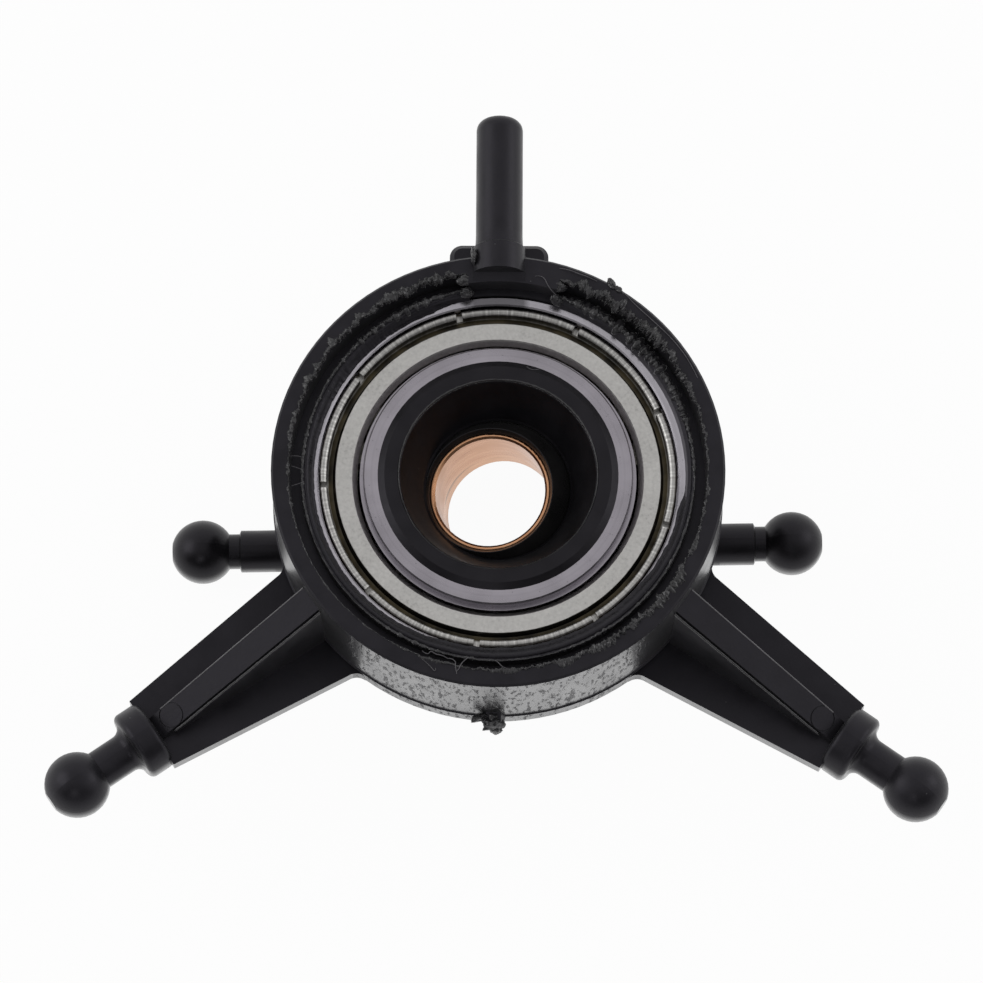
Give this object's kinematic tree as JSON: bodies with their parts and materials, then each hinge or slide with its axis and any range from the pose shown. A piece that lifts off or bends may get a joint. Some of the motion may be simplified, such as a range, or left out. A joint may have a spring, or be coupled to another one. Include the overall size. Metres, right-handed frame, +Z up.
{
  "type": "helicopter swashplate",
  "caption": "Swashplate of a small model helicopter: ring with link-ball arms and a guide pin, a rotor hub with link balls turning in a ball bearing, and a tilting sleeved pivot ball.",
  "frame": {"origin": "centre of the pivot ball, where the swashplate's own axis meets the main shaft's", "axes": "+Z up the swashplate's own axis to the non-rotating side, +Y along the anti-rotation pin, +X to the right with the two arms towards -Y"},
  "size_m": [0.0498, 0.0387, 0.0175],
  "materials": {
    "black_plastic": "satin moulded, filled nylon",
    "ball_plastic": "smooth low-friction plastic",
    "bearing_steel": "ground",
    "shield_steel": "matte pressed sheet",
    "cage_steel": "pressed sheet",
    "ball_steel": "polished",
    "sleeve_copper": "copper-coloured, drawn and burnished"
  },
  "bodies": {
    "ring": {"swash_ring": "black_plastic", "bearing_outer_race": "bearing_steel", "bearing_shield_upper": "shield_steel", "bearing_shield_lower": "shield_steel"},
    "cage": {"bearing_cage_upper": "cage_steel", "bearing_cage_lower": "cage_steel", "cage_rivets": "cage_steel", "bearing_ball_01": "ball_steel", "bearing_ball_02": "ball_steel", "bearing_ball_03": "ball_steel", "bearing_ball_04": "ball_steel", "bearing_ball_05": "ball_steel", "bearing_ball_06": "ball_steel", "bearing_ball_07": "ball_steel", "bearing_ball_08": "ball_steel", "bearing_ball_09": "ball_steel", "bearing_ball_10": "ball_steel", "bearing_ball_11": "ball_steel", "bearing_ball_12": "ball_steel"},
    "rotor": {"rotor_hub": "black_plastic", "bearing_inner_race": "bearing_steel"},
    "pivot": {"pivot_ball": "ball_plastic", "shaft_sleeve": "sleeve_copper"}
  },
  "joints": [
    {"name": "rotor_spin", "type": "hinge", "parent": "ring", "child": "rotor", "pos_m": [0, 0, 0.003], "axis": [0, 0, 1], "continuous": true},
    {"name": "cage_spin", "type": "hinge", "parent": "ring", "child": "cage", "pos_m": [0, 0, 0.003], "axis": [0, 0, 1], "continuous": true},
    {"name": "ball_tilt", "type": "hinge", "parent": "rotor", "child": "pivot", "pos_m": [0, 0, 0], "axis": [0.2974, -0.9548, 0], "range_deg": [-23, 5]}
  ],
  "couplings": [
    {"joint": "cage_spin", "follows": "rotor_spin", "ratio": 0.42785}
  ]
}
